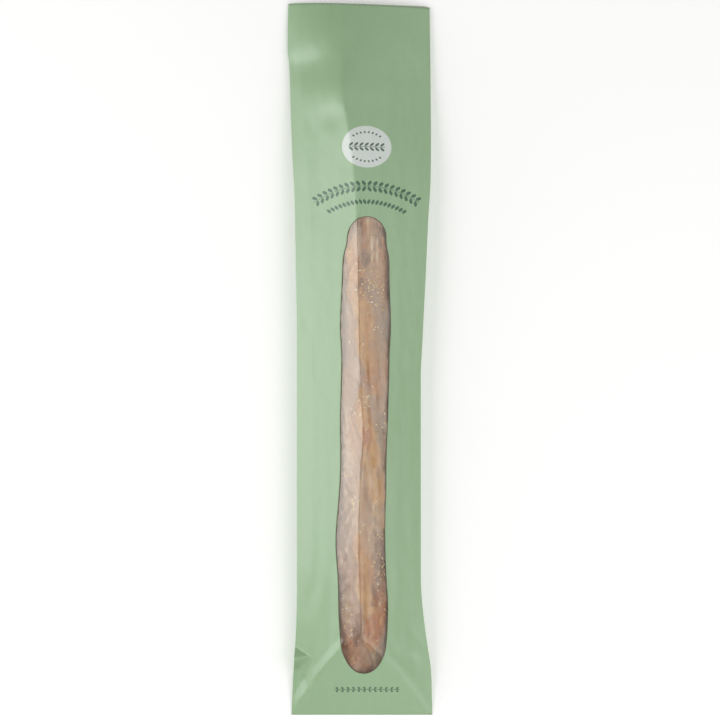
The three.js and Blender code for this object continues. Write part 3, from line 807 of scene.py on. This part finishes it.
# Paler lines and patches on the crust.
PALER_MARKS = [(6.5, 111, 1, 8, 0.7), (10, 92, 1, 13, 0.7), (14.5, 86, 0.9, 15, 0.6), (-12, -60, 4, 30, 0.3),
           (11, -130, 1.2, 20, 0.4)]
ASHEN = [(21.5, 27, 5, 13, 0.7), (18, -61, 5, 24, 0.6), (12, -249, 8, 8, 0.6), (19.5, -231, 4, 9, 0.6),
         (-10, 40, 5, 30, 0.4), (16, -130, 8, 14, 0.4)]


def scores(x, y):
    """How far the crust moves at the scores, how far each point lies in one, and how near its lip, where the
    crust is painted darker as the lip's shadow. Each score is a long lens: room = the root of 1 - along
    squared, place = aside / room, and the crust moves by room * the sum of the section's bell curves over
    place."""
    shift, opened, lip_shadow = np.zeros_like(x), np.zeros_like(x), np.zeros_like(x)
    for i, (middle_x, middle_y) in enumerate(SCORES):
        along = (y - middle_y) / SCORE_HALF_LENGTH
        wander = 0.14 * ripples((y,), (46,), 40 + i) + 0.05 * ripples((x, y), (9, 15), 50 + i)
        aside = (x - middle_x - SCORE_TILT * (y - middle_y)) / SCORE_HALF_WIDTH + wander
        room = np.sqrt(np.clip(1 - along ** 2, 0, 1))
        place = aside / np.maximum(room, 0.05)
        live = smooth_step(0, 0.35, room)
        inside = smooth_step(1.5, 0.6, np.abs(place)) * live
        section = sum(high * np.exp(-((place - at) / wide) ** 2) for at, wide, high in SCORE_SECTION)
        shift += live * room * section
        opened = np.maximum(opened, inside)
        lip_shadow = np.maximum(lip_shadow, live * room * np.exp(-((place + 1.1) / 0.2) ** 2))
    return shift, opened, lip_shadow


def patches(places, x, y, seed):
    """How strong a kind of patch is at each point: the sum of strength * e^-(across / wide)^2 -
    (along / long)^2, times 1 + unevenness, kept between 0 and 1."""
    total = np.zeros_like(x)
    for at_x, at_y, wide, long, strength in places:
        total += strength * np.exp(-((x - at_x) / wide) ** 2 - ((y - at_y) / long) ** 2)
    return np.clip(total * (1 + 0.35 * ripples((x, y), (5, 12), seed)), 0, 1)


def loaf(material):
    """The loaf: rings of a flat-bottomed oval section. Across = half width * girth * cosine ^ side power;
    the height is belly + (top - belly) * sine above the belly, and belly - under depth * belly * sine ^
    under power below it, cut off at the underside. Girth and crown taper to a point at both ends, and each
    point then moves along its normal by the scores and the uneven crust."""
    around, along = 176, 470
    share = np.linspace(-1, 1, along)
    from_middle = np.sign(share) * (1 - (1 - np.abs(share)) ** 1.12)    # rings stand closer at the ends
    y = (LOAF_FOOT + LOAF_HEAD) / 2 + (LOAF_HEAD - LOAF_FOOT) / 2 * from_middle
    turn = np.linspace(0, 2 * math.pi, around + 1)[None, :]
    girth = curve(LOAF_GIRTH, y)[:, None]
    rows = np.broadcast_to(y[:, None], (along, around + 1))
    end = smooth_step(0.4, 0, girth)
    middle_height = 0.5 * LOAF_HEIGHT * curve(LOAF_CROWN, y)[:, None]
    top = LOAF_HEIGHT * curve(LOAF_CROWN, y)[:, None] * (1 - end) + middle_height * end
    foot = middle_height * end
    belly = foot + LOAF_BELLY * (top - foot)
    side, up = np.cos(turn), np.sin(turn)
    x = LOAF_HALF_WIDTH * girth * np.sign(side) * np.abs(side) ** SIDE_POWER + curve(LOAF_MIDDLE, rows)
    under = np.maximum(belly - UNDER_DEPTH * (belly - foot) * np.abs(up) ** UNDER_POWER, foot)
    z = np.where(up >= 0, belly + (top - belly) * up, under)
    points = np.stack([x, rows, z], -1)
    shift, opened, lip_shadow = scores(x, rows)
    crown = smooth_step(0.25, 0.6, up) * smooth_step(0.3, 0.7, girth)
    opened, lip_shadow = opened * crown, lip_shadow * crown
    uneven = (0.45 * ripples((x, rows, z), (26, 60, 26), 11) + 0.22 * ripples((x, rows, z), (11, 22, 11), 12)
              + 0.10 * ripples((x, rows, z), (5, 9, 5), 13) + 0.05 * ripples((x, rows, z), (2.6, 4, 2.6), 14))
    normal = np.cross(np.gradient(points, axis=1), np.gradient(points, axis=0))
    normal /= np.maximum(np.linalg.norm(normal, axis=-1, keepdims=True), 1e-9)
    bottom = smooth_step(-0.5, -0.2, up)
    moved = points + normal * (shift * crown + uneven * smooth_step(0, 0.3, girth) * bottom)[..., None]
    moved[:, -1] = moved[:, 0]
    ceiling = front_height(moved[..., 0], moved[..., 1]) - LOAF_ROOM
    moved[..., 2] = np.clip(moved[..., 2] + LOAF_BASE, LOAF_BASE, ceiling)
    piece = make_piece("baguette_loaf", [(moved, None, True)], [material], closed=True,
                       marks={"opened": opened, "lip_shadow": lip_shadow, "toasted": patches(TOASTED, x, rows, 61),
                              "darker_and_shade": patches(DARKER_AND_SHADE, x, rows, 62),
                              "ashen": patches(ASHEN, x, rows, 63),
                              "paler": patches(PALER_MARKS, x, rows, 64)})
    return piece, moved


# Where small pale chips lie on the loaf: place, spread across and along, and how many.
FLAKE_CLUSTERS = [
    (1.7, 72, 2.5, 1.5, 6), (10.8, 60, 5, 6, 22), (19.6, 50, 2.5, 6, 10), (11.9, 43.6, 4, 3.5, 8),
    (16.6, 23.6, 2.5, 3, 8), (5, -32, 3, 6, 12), (-4, -44, 1.5, 2, 5), (6, -57.5, 2, 1.5, 5),
    (20, -54, 2.5, 8, 7), (20.4, -84, 1.5, 1.5, 2), (-3.5, -118, 2, 3, 9), (-11, -95, 2.5, 9, 7),
    (3.3, -140, 3.5, 3, 7), (16.7, -148, 2, 2, 4), (17, -171, 5, 8.5, 20), (14, -187, 2.5, 9, 9),
    (-13, -201, 1.8, 7, 8), (20.3, -204.5, 2.5, 7, 7), (-11.2, -228, 2, 9, 9), (-6.3, -251, 3, 2, 6),
]
STRAY_FLAKES = 60
FLAKE_LIFT = (0.30, 0.12, -0.05)    # how far a flake's top, rim and underside stand off the crust


def crust_flakes(skin, material):
    """Small pale chips that lie on the loaf. Each is a closed lens: a pole, a ragged rim at size *
    (cosine, sine) of the turn, and a pole under it, square to the loaf's own surface at its nearest
    point."""
    chance = np.random.default_rng(31)
    centres = [np.stack([chance.normal(x, wide, count), chance.normal(y, long, count)], -1)
               for x, y, wide, long, count in FLAKE_CLUSTERS]
    centres.append(np.stack([chance.uniform(-24, 26, STRAY_FLAKES),
                             chance.uniform(-262, 200, STRAY_FLAKES)], -1))
    centres = np.concatenate(centres)
    upper = skin[:, 4:85]       # the columns that run over the top of the loaf
    flat = upper.reshape(-1, 3)
    nearest = np.argmin((flat[None, :, 0] - centres[:, :1]) ** 2
                        + (flat[None, :, 1] - centres[:, 1:]) ** 2, axis=1)
    across = np.gradient(upper, axis=1).reshape(-1, 3)[nearest]
    along = np.gradient(upper, axis=0).reshape(-1, 3)[nearest]
    across /= np.linalg.norm(across, axis=-1, keepdims=True)
    out = np.cross(across, along)
    out /= np.linalg.norm(out, axis=-1, keepdims=True)
    out *= np.sign(out[:, 2:])
    along = np.cross(out, across)
    count = len(centres)
    size = chance.uniform(0.38, 0.95, count)[:, None, None]
    longer = chance.uniform(1.0, 1.7, count)[:, None, None]
    turned = chance.uniform(0, math.pi, count)[:, None, None]
    around = np.linspace(0, 2 * math.pi, 8)[None, None, :]
    ragged = 1 + 0.3 * chance.uniform(-1, 1, (count, 1, 7))
    ragged = np.concatenate([ragged, ragged[..., :1]], -1)
    ring = np.array([0.0, 1.0, 0.0])[None, :, None]
    lift = np.array(FLAKE_LIFT)[None, :, None] * np.ones_like(around)
    longways = size * longer * ring * ragged * np.cos(around)
    sideways = size * ring * ragged * np.sin(around)
    right = longways * np.cos(turned) - sideways * np.sin(turned)
    ahead = longways * np.sin(turned) + sideways * np.cos(turned)
    points = (flat[nearest][:, None, None] + right[..., None] * across[:, None, None]
              + ahead[..., None] * along[:, None, None] + lift[..., None] * out[:, None, None])
    shade = np.broadcast_to(chance.uniform(0, 1, count)[:, None, None], longways.shape)
    return make_piece("crust_flakes", [(grid, None, False) for grid in points], [material], closed=True,
                      marks={"shade": shade})


# ---------------------------------------------------------------------------
# Floor, light and camera
# ---------------------------------------------------------------------------

def pale_floor():
    """A matt white table that glows a little, as a light table does, so that shadows on it stay faint."""
    material, tree = new_material("pale_floor")
    shader = add(tree, "ShaderNodeBsdfPrincipled", {
        "Base Color": srgb("#F4F4F2"), "Roughness": 0.9,
        "Emission Color": srgb("#FFFFFF"), "Emission Strength": 0.15})
    add(tree, "ShaderNodeOutputMaterial", {"Surface": shader.outputs[0]})
    reach, below = 6.0, -0.0002
    mesh = bpy.data.meshes.new("floor")
    corners = [(-reach, -reach), (reach, -reach), (reach, reach), (-reach, reach)]
    mesh.from_pydata([(x, y, below) for x, y in corners], [], [(0, 1, 2, 3)])
    mesh.materials.append(material)
    floor = bpy.data.objects.new("floor", mesh)
    bpy.context.collection.objects.link(floor)


def soft_box(name, place, size, power):
    """A rectangular area light that faces the object's middle and is itself unseen."""
    light = bpy.data.lights.new(name, "AREA")
    light.shape = "RECTANGLE"
    light.size, light.size_y = size
    light.energy = power
    lamp = bpy.data.objects.new(name, light)
    lamp.location = place
    aim = -lamp.location.normalized()
    lamp.rotation_euler = aim.to_track_quat("-Z", "Y").to_euler()
    lamp.visible_camera = False
    bpy.context.collection.objects.link(lamp)


def studio():
    """A pale even sky and five soft boxes: a low one on the left, which gives the bag's left side its
    light edge, and weaker, wider ones on the right and at the foot, which keep glare off the film."""
    world = bpy.data.worlds.new("studio")
    world.use_nodes = True
    background = world.node_tree.nodes["Background"]
    background.inputs[0].default_value = (1, 1, 1, 1)
    background.inputs[1].default_value = 0.34
    bpy.context.scene.world = world
    soft_box("left_soft_box", (-1.38, 0, 0.82), (0.8, 2), 16.9)
    soft_box("right_soft_box", (0.8, 0, 1.4), (0.7, 1.8), 5.2)
    soft_box("right_foot_soft_box", (0.85, -1.05, 0.9), (1.7, 1.7), 10.6)
    soft_box("right_head_soft_box", (0.85, 1.05, 0.9), (1.2, 1.2), 1.8)
    soft_box("foot_soft_box", (-0.2, -1.6, 0.9), (1.6, 0.8), 1.5)
    bpy.context.scene.view_settings.view_transform = "Standard"


def camera():
    """Straight above the object, far enough away for a nearly parallel view. The focal length is sensor *
    distance / the width that is seen, in metres, one centimetre above the floor."""
    height, seen, sensor = 2.2, 0.6051, 36
    lens = bpy.data.cameras.new("camera")
    lens.sensor_width = sensor
    lens.lens = sensor * (height - 0.01) / seen
    view = bpy.data.objects.new("camera", lens)
    view.location = (0, -0.0006, height)
    bpy.context.collection.objects.link(view)
    bpy.context.scene.camera = view


# ---------------------------------------------------------------------------
# The whole scene
# ---------------------------------------------------------------------------

bread, skin = loaf(baked_crust())

# Each piece, the node that it stands for, and the slot that its finish comes from.
made = [
    (paper_bag([printed_paper(), inner_paper()]), "paper_bag", "bag_paper"),
    (window_film(clear_film()), "window_film", "clear_film"),
    (glue_shadow_line(glue_and_edge_shadow()), "window_film", "clear_film"),
    (bread, "baguette", "bread_crust"),
    (crust_flakes(skin, pale_specks()), "baguette", "bread_crust"),
]
for piece, node, slot in made:
    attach(piece, "root")
    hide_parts(node)

pale_floor()
studio()
camera()
